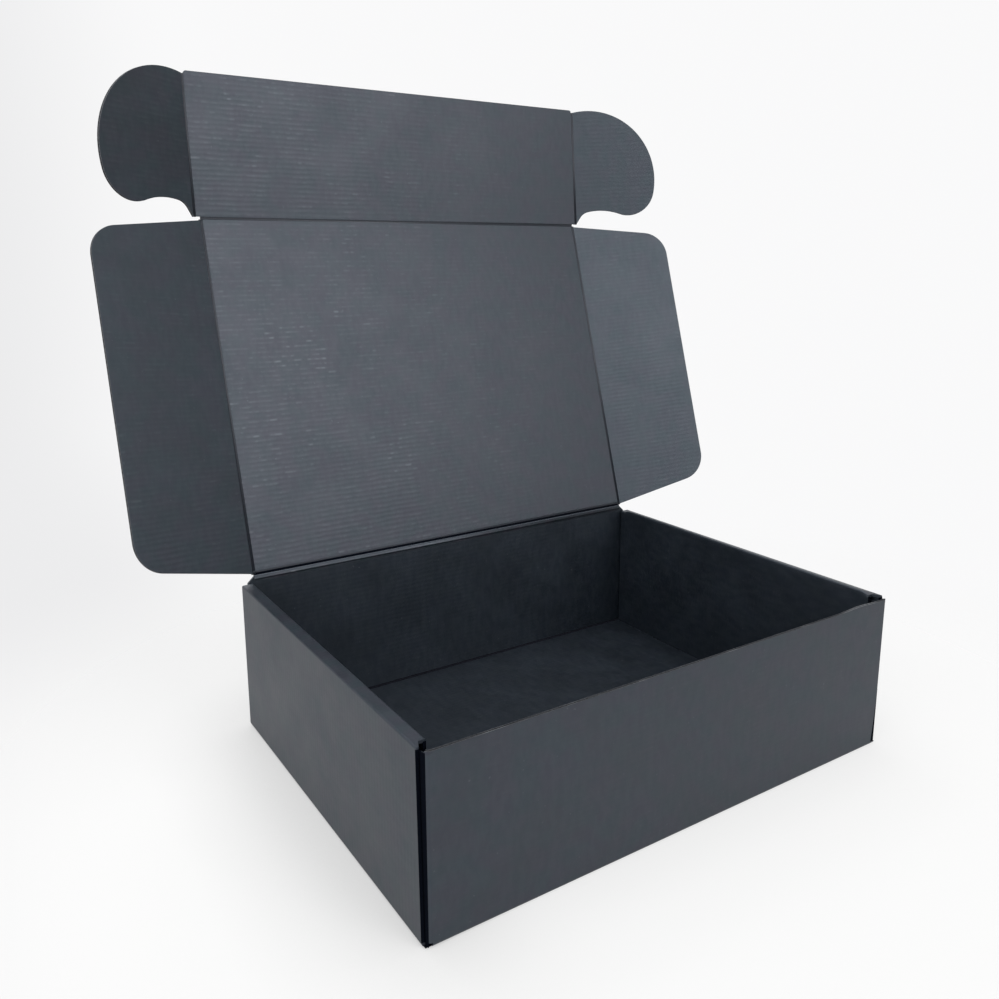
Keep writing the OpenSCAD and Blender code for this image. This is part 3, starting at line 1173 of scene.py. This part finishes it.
@dataclass
class LidAssembly:
    """The opened lid with its side flaps, tuck panel and ears, and the creases between them."""

    finishes: Finishes
    sizes: LidSizes = field(default_factory=LidSizes)

    def __post_init__(self) -> None:
        """Works out the frames of the panels from the joints."""
        s = self.sizes
        self.hinge = joint_place("lid_hinge")
        top = joint_place("tuck_fold")
        self.up = (top - self.hinge).normalized()
        self.length = (top - self.hinge).length
        self.right = Vector((1, 0, 0))
        self.half_width = joint_place("right_flap_fold").x
        self.tuck_half = joint_place("right_ear_fold").x
        self.lid_frame = crease_frame(self.hinge, self.up, self.right.cross(self.up))
        self.lid_top = self.lid_frame @ Matrix.Translation((0, self.length, 0))
        self.tuck_frame = self.lid_top @ Matrix.Rotation(rest_fold("tuck_fold"), 4, "X")
        flap_ends = (s.flap_crease_gap, self.length - s.flap_crease_gap)
        ear_ends = (s.ear_tip_rise + s.ear_crease_gaps[0], s.tuck_height - s.ear_crease_gaps[1])
        self.folds = [
            SideFold(
                "flap", "side_flap", "lid", self.lid_frame, self.hinge, self.half_width, 0.0,
                flap_ends, self._flap_outline(),
            ),
            SideFold(
                "ear", "ear", "tuck_flap", self.tuck_frame, top, self.tuck_half, self.length,
                ear_ends, self._ear_outline(),
            ),
        ]

    def _flap_outline(self) -> list[Point]:
        """Outline of the right side flap, with its tapered ends and round corners."""
        s = self.sizes
        start = BOARD.crease_half
        taper = math.radians(s.flap_taper)
        near = s.flap_end_gap + start * math.tan(taper)
        far = s.flap_end_gap + s.flap_reach * math.tan(taper)
        trim = s.flap_corner * math.tan(math.pi / 4 - taper / 2)
        x = s.flap_reach - s.flap_corner
        low, high = (x, far + trim), (x, self.length - far - trim)
        return [
            (start, near),
            *arc(low, s.flap_corner, -90 + s.flap_taper, 0, s.chords),
            *arc(high, s.flap_corner, 0, 90 - s.flap_taper, s.chords),
            (start, self.length - near),
        ]

    def _ear_outline(self) -> list[Point]:
        """Outline of the right ear: tip, throat, scallop, lobe and shoulder, arc by arc."""
        s = self.sizes
        lean = math.sin(math.radians(s.lobe_turn))
        room = s.tuck_height - s.ear_nick / 2 - s.ear_lift - s.ear_lobe * (1 + lean)
        shoulder_r = room / (1 - lean)

        def step(centre: Point, distance: float, turn: float) -> Point:
            """A centre moved by a distance along an angle in degrees."""
            way = math.radians(turn)
            return (centre[0] + distance * math.cos(way), centre[1] + distance * math.sin(way))

        shoulder = (s.ear_reach - shoulder_r, s.tuck_height - s.ear_nick / 2 - shoulder_r)
        lobe = step(shoulder, shoulder_r - s.ear_lobe, s.lobe_turn)
        scallop = step(lobe, s.ear_lobe + s.ear_scallop, s.scallop_turn)
        throat = step(scallop, s.ear_scallop - s.ear_throat, s.throat_turn)
        leg = (throat[0] - s.panel_start, throat[1] - s.ear_tip_rise)
        tangent = math.atan2(leg[1], leg[0]) + math.asin(s.ear_throat / math.hypot(*leg))
        tip_turn = math.degrees(tangent) + 90
        shoulder_end = math.degrees(math.acos((BOARD.crease_half - shoulder[0]) / shoulder_r))
        return [
            (BOARD.crease_half, s.ear_tip_rise),
            *arc(throat, s.ear_throat, tip_turn, s.throat_turn, s.chords // 3),
            *arc(
                scallop, s.ear_scallop, s.throat_turn, s.scallop_turn - 180, 2 * s.chords // 3,
            )[1:],
            *arc(lobe, s.ear_lobe, s.scallop_turn, 360 + s.lobe_turn, s.chords)[1:],
            *arc(shoulder, shoulder_r, s.lobe_turn, shoulder_end, 2 * s.chords)[1:],
        ]

    def _place(self, made: Piece, where: Matrix, node: str) -> None:
        """Puts a panel in its frame, on its body, in place of its solid.

        Args:
            made: The panel.
            where: Its frame.
            node: Node of its body and its solid.
        """
        made.matrix_world = where
        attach(made, node)
        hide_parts(node)

    def lid_panel(self) -> None:
        """The lid between its creases."""
        x = self.half_width - BOARD.crease_half
        foot = self.sizes.hinge_crease
        top = self.length - BOARD.crease_half
        outline = Outline([(-x, foot), (x, foot), (x, top), (-x, top)], [False] * 4)
        panel = BoardPanel("lid_panel", outline, lambda x, y: (x, y))
        self._place(panel.build(self.finishes.board), self.lid_frame, "lid")

    def tuck_panel(self) -> None:
        """The tuck panel, cut along its free edge."""
        s = self.sizes
        x = self.tuck_half - BOARD.crease_half
        r = s.tuck_corner
        top = s.tuck_height - r
        corners = [
            *arc((x - r, top), r, 0, 90, s.tuck_chords),
            *arc((r - x, top), r, 90, 180, s.tuck_chords),
        ]
        points = [(-x, BOARD.crease_half), (x, BOARD.crease_half), *corners]
        cut = [False, False, *[True] * (len(corners) - 1), False]
        sheet = lambda x, y: (x, self.length + y)
        panel = BoardPanel("tuck_panel", Outline(points, cut), sheet)
        self._place(panel.build(self.finishes.board), self.tuck_frame, "tuck_flap")

    def side_panel(self, fold: SideFold, side: int, name: str) -> None:
        """A side flap or ear, cut all round but for its crease.

        Args:
            fold: Its fold.
            side: 1 on the right and -1 on the left.
            name: The side's name.
        """
        outline = Outline(fold.points, [True] * (len(fold.points) - 1) + [False])
        panel = BoardPanel(
            f"{name}_{fold.part}_panel", outline if side > 0 else outline.mirrored(),
            lambda x, y: (x + side * fold.axis_x, fold.sheet_y + y),
        )
        turn = Matrix.Rotation(-side * rest_fold(f"{name}_{fold.part}_fold"), 4, "Y")
        where = fold.carrier @ Matrix.Translation((side * fold.axis_x, 0, 0)) @ turn
        self._place(panel.build(self.finishes.flap_board), where, f"{name}_{fold.node}")

    def side_crease(self, fold: SideFold, side: int, name: str) -> CreaseStrip:
        """The crease strip of a side flap or ear.

        Args:
            fold: Its fold.
            side: 1 on the right and -1 on the left.
            name: The side's name.

        Returns:
            The strip, not yet built.
        """
        out = self.right * side
        inside = fold.carrier.to_3x3() @ Vector((0, 0, 1))
        return CreaseStrip(
            f"{name}_{fold.part}_crease",
            crease_frame(fold.foot + out * fold.axis_x, out, inside),
            tuple(-side * end for end in fold.ends),
            rest_fold(f"{name}_{fold.part}_fold"),
            lambda x, y: (side * (fold.axis_x + y), fold.sheet_y - side * x),
            (fold.parent, f"{name}_{fold.node}"),
        )

    def wide_creases(self) -> list[CreaseStrip]:
        """The hinge crease on the rear wall and the crease between lid and tuck panel."""
        upright = Vector((0, 0, 1))
        wall_inside = Vector((0, -1, 0))
        width = (-self.half_width, self.half_width)
        return [
            CreaseStrip(
                "hinge_crease", crease_frame(self.hinge, upright, wall_inside), width,
                -math.atan2(self.up.y, self.up.z), lambda x, y: (x, y), ("tray", "lid"),
                reach=(3.2 * MM, self.sizes.hinge_crease), groove_at=1.2 * MM,
                # Painted shade: the middle of the hinge groove takes the near-black slot material.
                groove_spread=1.1 * MM, groove_face=Face.SHADED, ridge=0.65 * MM, proud=0.05 * MM,
            ),
            CreaseStrip(
                "tuck_crease", self.lid_top, width, rest_fold("tuck_fold"),
                lambda x, y: (x, self.length + y), ("lid", "tuck_flap"),
            ),
        ]

    def build(self) -> None:
        """Builds every panel and crease."""
        self.lid_panel()
        self.tuck_panel()
        pairs = [(fold, side, name) for side, name in SIDES for fold in self.folds]
        for pair in pairs:
            self.side_panel(*pair)
        for strip in [*self.wide_creases(), *[self.side_crease(*pair) for pair in pairs]]:
            strip.build(self.finishes)


def put_on_tray(made: Piece) -> None:
    """Puts a piece on the tray's body."""
    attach(made, "tray")


@dataclass
class RawEdge:
    """A cut edge of the tray's board, laid on the solid's cut face.

    Attributes:
        name: The piece's name.
        path: Points along the cut face's middle, each with the way across the board there.
        out: The way that the cut face looks.
        lift: Gives how far the edge rises along its length, for a wavy edge.
        skirt: Gives how far its sides reach down the board's faces along its length.
        shade_in_slot: Whether it stands in a corner's slot and takes painted shade, as little light
            falls there.
        drift: Length over which the medium wanders from liner to liner.
        lip: Height of the liners' cut edges over the solid.
        floor: Height of the recess between them over the solid.
        cover: How far the sides stand off the board's faces.
        lip_corner: Share of the lip's height at its outer corners.
        medium_top: Share of the lip's height that the medium has.
    """

    name: str
    path: Sequence[tuple[Vector, Vector]]
    out: Vector
    lift: Callable[[float], float] = lambda distance: 0.0
    skirt: Callable[[float], float] = lambda distance: 0.35 * MM
    shade_in_slot: bool = False
    drift: float = 70 * MM
    lip: float = 0.09 * MM
    floor: float = 0.015 * MM
    cover: float = 0.03 * MM
    lip_corner: float = 0.6
    medium_top: float = 0.9

    def _section(self, travelled: float) -> list[Point]:
        """Cross-section of the edge.

        Args:
            travelled: Length along the edge.

        Returns:
            Points as distance across the board and height over the solid.
        """
        rise = self.lift(travelled)
        wander = BOARD.wave_height * math.cos(2 * math.pi * travelled / self.drift)
        outer = BOARD.half + self.cover
        inner = BOARD.half - BOARD.liner
        lip = self.lip + rise
        floor = self.floor + rise
        liner = [
            (outer, -self.skirt(travelled)), (outer, self.lip * self.lip_corner + rise),
            (BOARD.half - BOARD.lip_inset, lip), (inner, lip), (inner, floor),
        ]
        low, high = wander - BOARD.medium / 2, wander + BOARD.medium / 2
        top = self.lip * self.medium_top + rise
        medium = [(low, floor), (low, top), (high, top), (high, floor)]
        return [*[(-across, height) for across, height in liner], *medium, *liner[::-1]]

    def build(self, materials: Sequence[Material]) -> None:
        """Makes the lips, the recess and the medium's cut edge."""
        draft = MeshDraft()
        rings = []
        travelled = 0.0
        for i, (point, across) in enumerate(self.path):
            if i:
                travelled += (point - self.path[i - 1][0]).length
            rings.append([
                draft.vertex(point + across * a + self.out * o, (travelled, a))
                for a, o in self._section(travelled)
            ])
        half = [Face.OUTSIDE, Face.CUT, Face.CUT, Face.MEDIUM, Face.MEDIUM, Face.CUT]
        kinds = [*half, Face.CUT, *half[::-1]]
        # Painted shade: an edge in a slot is dark on all but its outer side.
        if self.shade_in_slot:
            kinds = [Face.OUTSIDE, *[Face.SHADED] * (len(kinds) - 1)]
        draft.loft(list(zip(*rings)), kinds)
        draft.face(rings[0], kinds[1])
        draft.face(rings[-1][::-1], kinds[1])
        put_on_tray(draft.build(self.name, materials))


@dataclass
class TraySizes:
    """Sizes of the folded tray and of the thin pieces laid on it, in metres.

    Angles are in degrees. The rolled layers, the tongues round the front corners, the front edge's
    wave, the skins and foot patches of painted shade, the painted-shade foot of the right front
    fold and the raised rim follow in that order.
    """

    front_drop: float = 1.0 * MM
    hinge_rise: float = 3.8 * MM
    fold_r: float = 2.2 * MM
    rim_r: float = 1.0 * MM
    layer_gap: float = 0.33 * MM
    side_step_low: float = 2.6 * MM
    side_step_high: float = 4.2 * MM
    roll_step: float = 4.0 * MM
    edge_steps: int = 120
    tongue_turn: int = 56
    turn_step: int = 8
    tongue_rise: float = 0.3 * MM
    tongue_fade: float = 1.5
    tongue_skirt: float = 1.3 * MM
    wave_at: float = 22 * MM
    wave_width: float = 11 * MM
    wave_rise: float = 0.75 * MM
    skin_lift: float = 0.04 * MM
    skin_turn: int = 42
    skin_run: float = 3 * MM
    skin_gaps: Point = (0.4 * MM, 0.3 * MM)
    patch_sides: Point = (1 * MM, 0.8 * MM)
    patch_at: float = 7 * MM
    patch_depth: float = 6.2 * MM
    line_run: float = 0.35 * MM
    line_gap: float = 0.3 * MM
    foot_reach: float = 1.7 * MM
    foot_height: float = 32 * MM
    foot_hidden: float = 0.4
    foot_levels: int = 8
    foot_chords: int = 10
    foot_lift: float = 0.06 * MM
    foot_start: int = 38
    rim_lift: float = 1.3 * MM
    rim_run_out: float = 5 * MM
    rim_depth: float = 2 * MM
    rim_end: float = 6 * MM
    rim_lap: float = 0.3 * MM
    rim_end_steps: int = 6
    rim_steps: int = 8
    fold_chords: int = 6


@dataclass
class TrayDressing:
    """Finish of the folded tray and the raw edges on its walls."""

    finishes: Finishes
    sizes: TraySizes = field(default_factory=TraySizes)

    def __post_init__(self) -> None:
        """Takes the tray's box from the frame."""
        s = self.sizes
        _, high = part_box("tray")
        self.half_w = high.x
        self.half_d = high.y
        self.rim_h = joint_place("lid_hinge").z - s.hinge_rise
        self.corner_x = self.half_w - BOARD.thickness - s.layer_gap - s.fold_r
        self.roll_face = self.half_w - 4 * BOARD.thickness - 3 * s.layer_gap
        self.roll_start = s.side_step_high + s.roll_step

    def front_edge(self) -> None:
        """The front wall's raw top edge, with its wave near the right end."""
        s = self.sizes
        z = self.rim_h - s.front_drop
        radius = s.fold_r - BOARD.half
        inward = Vector((0, 1, 0))
        shares = [2 * i / s.edge_steps - 1 for i in range(s.edge_steps + 1)]
        path = [
            (Vector((self.corner_x * share, BOARD.half - self.half_d, z)), inward)
            for share in shares
        ]
        for turn in range(s.turn_step, s.tongue_turn + 1, s.turn_step):
            angle = math.radians(turn)
            for side, _ in SIDES:
                way = Vector((-side * math.sin(angle), math.cos(angle), 0))
                middle = Vector((side * self.corner_x, s.fold_r - self.half_d, z))
                path.insert(len(path) if side > 0 else 0, (middle - radius * way, way))
        bend = radius * math.radians(s.tongue_turn)
        whole = 2 * (self.corner_x + bend)
        crest = whole - bend - s.wave_at

        def lift(distance: float) -> float:
            """Rise of the wave and of the tongues over the corner folds, from the left end."""
            end = min(distance, whole - distance)
            tongue = s.tongue_rise * (1 - smooth_step(end / (s.tongue_fade * bend)))
            return tongue + s.wave_rise * hump(distance - crest, s.wave_width)

        def skirt(distance: float) -> float:
            """Deeper sides where the corner folds end below the wall's top."""
            on_tongue = min(distance, whole - distance) < bend
            return s.tongue_skirt if on_tongue else RawEdge.skirt(distance)

        edge = RawEdge("front_wall_edge", path, Vector((0, 0, 1)), lift=lift, skirt=skirt)
        edge.build(self.finishes.front_board)

    def side_edges(self) -> None:
        """The front edges of the outer side walls and of the rolled-over layers, in painted slot
        shade.
        """
        s = self.sizes
        lean = (s.side_step_high - s.side_step_low) / self.rim_h
        layers = (
            ("wall", self.half_w - BOARD.half, s.fold_r, s.side_step_low, lean),
            ("roll", self.roll_face + BOARD.half, BOARD.thickness, self.roll_start, 0),
        )
        for side, name in SIDES:
            for part, x, low_z, step, slope in layers:
                path = [
                    (Vector((side * x, step - self.half_d + slope * z, z)), Vector((side, 0, 0)))
                    for z in (low_z, self.rim_h - s.rim_r)
                ]
                out = Vector((0, -1, -slope)).normalized()
                RawEdge(f"{name}_{part}_edge", path, out, shade_in_slot=True).build(self.finishes.board)

    def _skin(
        self, name: str, section: Sequence[Vector], ends: Sequence[Vector],
        kind: Face = Face.SHADED,
    ) -> None:
        """A thin skin of painted shade in a fold's hollow, where little light falls.

        Args:
            name: The piece's name.
            section: Points of its cross-section.
            ends: Offsets of the two ends from the section.
            kind: Its material.
        """
        draft = MeshDraft()
        rings = [
            [
                draft.vertex(point + end, (end.length, i * BOARD.liner))
                for i, point in enumerate(section)
            ]
            for end in ends
        ]
        draft.loft(rings, [kind], smooth=True)
        put_on_tray(draft.build(name, self.finishes.board))

    def corner_skins(self) -> None:
        """Painted shade on each corner fold behind the side wall's end, and on a patch at each
        slot's foot.
        """
        s = self.sizes
        radius = s.fold_r + s.skin_lift
        heights = (s.skin_gaps[0], self.rim_h - s.front_drop - s.skin_gaps[1])
        patch = (self.roll_face - s.patch_sides[0], self.half_w - s.patch_sides[1])
        for across, side in SIDES:
            for depth, end in ENDS:
                middle = Vector((across * self.corner_x, depth * (self.half_d - s.fold_r), 0))
                section = [middle + Vector((across * radius, -depth * s.skin_run, 0))]
                for x, y in arc((0, 0), radius, 0, s.skin_turn, s.fold_chords):
                    section.append(middle + Vector((across * x, depth * y, 0)))
                lifts = [Vector((0, 0, height)) for height in heights]
                self._skin(f"{side}_{end}_corner_fold_shade", section, lifts)
                y = depth * (self.half_d - s.patch_at)
                foot = [Vector((across * x, y, BOARD.half)) for x in patch]
                deep = Vector((0, depth * s.patch_depth, 0))
                self._skin(f"{side}_{end}_foot_shade_patch", foot, (Vector(), deep))

    def foot_skins(self) -> None:
        """A line of painted shade inside the foot of the front and rear walls."""
        s = self.sizes
        inner = s.fold_r - BOARD.thickness - s.skin_lift
        reach = self.roll_face - s.line_gap
        ends = [Vector((side * reach, 0, 0)) for side in (-1, 1)]
        for depth, end in ENDS:
            middle = Vector((0, depth * (self.half_d - s.fold_r), s.fold_r))
            bend = arc((0, 0), inner, -90, 0, s.fold_chords)
            run = [(-s.line_run, -inner), *bend, (inner, s.line_run)]
            section = [middle + Vector((0, depth * y, z)) for y, z in run]
            self._skin(f"{end}_wall_foot_shade", section, ends, Face.FOOT_LINE_SHADE)

    def fold_foot_shade(self) -> None:
        """Painted shade over the lower end of the right front corner fold, where its slot is dark.
        """
        s = self.sizes
        draft = MeshDraft()
        radius = s.fold_r + s.foot_lift
        first = math.radians(s.foot_start)
        bend = math.pi / 2 - first
        hidden = s.foot_hidden * bend
        rings = []
        for level in range(s.foot_levels + 1):
            share = level / s.foot_levels
            reach = hidden * radius + (1 - share) * ((bend - hidden) * radius + s.foot_reach)
            ring = []
            for i in range(s.foot_chords + 1):
                run = reach * i / s.foot_chords
                turn = first + min(bend, run / radius)
                flat = max(0.0, run - bend * radius)
                x = self.corner_x + radius * math.cos(turn) - flat
                y = s.fold_r - self.half_d - radius * math.sin(turn)
                ring.append(draft.vertex((x, y, s.fold_r + s.foot_height * share), (run, share)))
            rings.append(ring)
        draft.loft(rings, [Face.SHADED] * s.foot_levels, smooth=True)
        put_on_tray(draft.build("right_front_fold_foot_shade", self.finishes.board))

    def raised_rim(self) -> None:
        """The right rim's top, whose inner fold stands a little higher than the outer one."""
        s = self.sizes
        draft = MeshDraft()
        inner = self.roll_face - s.skin_lift
        top = self.rim_h + s.rim_lift
        high = self.rim_h + s.skin_lift
        slope = math.atan2(s.rim_lift, self.half_w - self.roll_face - s.rim_r)
        section = [(inner, self.rim_h - s.rim_depth), (inner, top - s.rim_r)]
        for chord in range(1, s.fold_chords + 1):
            angle = math.radians(90 * chord / s.fold_chords) * (1 + slope / (math.pi / 2))
            section.append((
                inner + s.rim_r * (1 - math.cos(angle)), top - s.rim_r + s.rim_r * math.sin(angle),
            ))
        section.append((self.half_w - s.rim_r, high))
        section.append((self.half_w - s.rim_lap, high - s.rim_lap))
        front = self.roll_start - self.half_d
        length = self.half_d - s.rim_end - front
        flat = length - 2 * s.rim_run_out
        end = [s.rim_run_out * step / s.rim_end_steps for step in range(s.rim_end_steps + 1)]
        middle = [s.rim_run_out + flat * step / s.rim_steps for step in range(1, s.rim_steps)]
        rings = []
        for away in [*end, *middle, *[length - distance for distance in reversed(end)]]:
            y = front + away
            rise = smooth_step(min(away, length - away) / s.rim_run_out)
            rings.append([
                draft.vertex((x, y, high + (z - high) * rise if z > high else z), (y, x))
                for x, z in section
            ])
        draft.loft(rings, [Face.OUTSIDE] * (len(rings) - 1), smooth=True)
        put_on_tray(draft.build("right_rim_fold", self.finishes.tray_skin))

    def build(self) -> None:
        """Dresses the solid and adds its raw edges."""
        tray = frame["nodes"]["tray"]
        tray.data.materials.clear()
        tray.data.materials.append(self.finishes.tray)
        LOG.info("tray: solid kept, with the board finish")
        self.front_edge()
        self.side_edges()
        self.corner_skins()
        self.foot_skins()
        self.fold_foot_shade()
        self.raised_rim()


@dataclass(frozen=True)
class Lamp:
    """A square soft lamp: its name, its place, its side in metres and its power in watts."""

    name: str
    place: Place
    size: float
    power: float


@dataclass(frozen=True)
class DimSide:
    """A darker side of the backdrop.

    Attributes:
        way: The way that it lies.
        low: How near that way it starts, as a cosine.
        high: How near that way it is darkest.
        level: Its brightness there.
    """

    way: Place
    low: float
    high: float
    level: float


@dataclass
class Studio:
    """Camera, lamps, floor and backdrop, in metres and degrees.

    The floor's own light makes it as pale as the backdrop that it fades into. That light is
    darkened as a painted shadow where the box stands close, and left out as painted shade under the
    box.
    """

    image_px: float = 999
    focal_px: float = 900.2
    sensor_mm: float = 36
    principal_px: Point = (483.7, 446.9)
    camera_at: Place = (-0.29945, -0.39307, 0.27635)
    elevation: float = 11.679
    azimuth: float = 32.456
    roll: float = -0.331
    clip: Point = (0.01, 50)
    floor_reach: float = 6.0
    floor_colour: Colour = (0.16, 0.16, 0.158)
    floor_roughness: float = 0.8
    floor_fade: Point = (0.2, 0.5)
    floor_own: float = 0.705
    # Painted shadow near the box: depth, reach, samples, the leftward stretch and the share left on
    # the right.
    painted_floor_shadow: float = 0.52
    shade_reach: float = 0.07
    shade_samples: int = 8
    shade_side: Point = (-0.17, -0.08)
    shade_left: float = 0.25
    # Painted shade under the box: the floor's own light is left out there.
    covered: Point = (148 * MM, 109 * MM)
    ambient: Colour = (0.97, 0.98, 1.0)
    ambient_power: float = 0.25
    backdrop_pale: Colour = (0.95, 0.95, 0.955)
    dim_blue: float = 1.01
    dim_sides: Sequence[DimSide] = (
        DimSide((-0.8, 0.6, 0.0), 0.36, 0.58, 0.825),
        DimSide((0.82, -0.46, 0.34), 0.78, 1.0, 0.36),
        DimSide((0.06, 0.92, -0.38), 0.965, 0.998, 0.84),
    )
    lamps_look_at: Place = (0, 0, 0.15)
    lamps: Sequence[Lamp] = (
        Lamp("left", (-2.0, -0.2, 0.9), 1.4, 21),
        Lamp("left_front", (-1.6, -1.4, 0.9), 1.4, 19),
        Lamp("front", (-0.2, -2.2, 1.0), 1.4, 4),
        Lamp("front_right", (0.65, -2.1, 1.3), 1.0, 20),
        Lamp("right_front", (1.2, -1.85, 1.1), 1.0, 8),
        Lamp("ceiling", (0, 0, 2.3), 1.4, 18),
        Lamp("ceiling_front", (0.0, -1.2, 2.0), 1.2, 14),
        Lamp("ceiling_rear", (0, 1.6, 1.8), 1.4, 15),
    )

    @staticmethod
    def _link(name: str, data: bpy.types.ID) -> Piece:
        """Adds an object with its data to the scene."""
        made = bpy.data.objects.new(name, data)
        bpy.context.scene.collection.objects.link(made)
        return made

    def camera(self) -> None:
        """Adds the camera at the photograph's place and angle."""
        data = bpy.data.cameras.new("camera")
        data.sensor_width = self.sensor_mm
        data.lens = self.focal_px * self.sensor_mm / self.image_px
        middle = self.image_px / 2
        data.shift_x = (middle - self.principal_px[0]) / self.image_px
        data.shift_y = (self.principal_px[1] - middle) / self.image_px
        data.clip_start, data.clip_end = self.clip
        made = self._link("camera", data)
        turn = Matrix.Rotation(-math.radians(self.azimuth), 4, "Z")
        tilt = Matrix.Rotation(math.radians(90 - self.elevation), 4, "X")
        spin = Matrix.Rotation(math.radians(self.roll), 4, "Z")
        made.matrix_world = Matrix.Translation(self.camera_at) @ turn @ tilt @ spin
        bpy.context.scene.camera = made

    def add_lamps(self) -> None:
        """Adds every lamp."""
        for lamp in self.lamps:
            data = bpy.data.lights.new(lamp.name, "AREA")
            data.size = lamp.size
            data.energy = lamp.power
            made = self._link(lamp.name, data)
            made.location = lamp.place
            made.rotation_mode = "QUATERNION"
            way = Vector(self.lamps_look_at) - Vector(lamp.place)
            made.rotation_quaternion = way.to_track_quat("-Z", "Y")

    @staticmethod
    def _seen(build: NodeBuilder) -> tuple[Socket, Socket]:
        """What a reflection sees, and what a reflection or the camera sees."""
        rays = build.add("ShaderNodeLightPath").outputs
        mirrored = rays["Is Glossy Ray"]
        return mirrored, build.math("MAXIMUM", rays["Is Camera Ray"], mirrored)

    def world(self) -> None:
        """Adds an even pale surround, white where the camera or a reflection sees it."""
        world = bpy.data.worlds.new("surround")
        bpy.context.scene.world = world
        build = NodeBuilder.of(world)
        where = build.add("ShaderNodeTexCoord").outputs["Generated"]
        colour: object = self.backdrop_pale
        for side in self.dim_sides:
            share = build.ramp(build.measure("DOT_PRODUCT", where, side.way), side.low, side.high)
            dim = (side.level, side.level, side.level * self.dim_blue)
            colour = build.mix(share, colour, dim)
        lights = [
            build.feed_row(build.add("ShaderNodeBackground"), shade, power)
            for shade, power in ((self.ambient, self.ambient_power), (colour, 1.0))
        ]
        _, shown = self._seen(build)
        both = build.feed_row(build.add("ShaderNodeMixShader"), shown, *lights)
        build.feed_all(build.add("ShaderNodeOutputWorld"), Surface=both)

    def floor(self) -> None:
        """Adds a pale floor that runs up into the backdrop's colour."""
        mesh = bpy.data.meshes.new("floor")
        corners = ((-1, -1), (1, -1), (1, 1), (-1, 1))
        places = [(x * self.floor_reach, y * self.floor_reach, 0) for x, y in corners]
        mesh.from_pydata(places, [], [(0, 1, 2, 3)])
        made = self._link("floor", mesh)
        paint = bpy.data.materials.new("pale_floor")
        build = NodeBuilder.of(paint)
        mirrored, shown = self._seen(build)
        where = build.add("ShaderNodeTexCoord").outputs["Object"]
        parts = build.separate(where)
        # Painted shadow: ambient occlusion darkens the floor's own light near the box, most to its
        # left and in reflections.
        near = build.add("ShaderNodeAmbientOcclusion", samples=self.shade_samples)
        build.feed_all(near, Distance=self.shade_reach)
        weakest = self.painted_floor_shadow * self.shade_left
        shade = build.math(
            "MAXIMUM", build.ramp(parts[0], *self.shade_side, self.painted_floor_shadow, weakest),
            build.product(mirrored, self.painted_floor_shadow),
        )
        closed = build.product(build.math("SUBTRACT", 1.0, near.outputs["AO"]), shade)
        # Painted shade: the floor's own light is left out where the box covers it.
        beyond = [
            build.math("GREATER_THAN", build.math("ABSOLUTE", part), half)
            for part, half in zip(parts, self.covered)
        ]
        own = build.product(
            build.math("SUBTRACT", 1.0, closed), shown, self.floor_own,
            build.math("MAXIMUM", *beyond),
        )
        build.surface(
            Base_Color=self.floor_colour, Roughness=self.floor_roughness,
            Emission_Color=build.combine(own, own, own), Emission_Strength=1.0,
            Alpha=build.ramp(build.measure("LENGTH", where), *self.floor_fade, 1.0, 0.0),
        )
        mesh.materials.append(paint)

    def build(self) -> None:
        """Sets the stage."""
        self.camera()
        self.world()
        self.floor()
        self.add_lamps()
        bpy.context.scene.view_settings.view_transform = "Standard"
        LOG.info("studio: camera, floor and lamps")


def main() -> None:
    """Builds the studio, the finishes and the box."""
    Studio().build()
    finishes = Finishes()
    LidAssembly(finishes).build()
    TrayDressing(finishes).build()


if __name__ == "__main__":
    main()
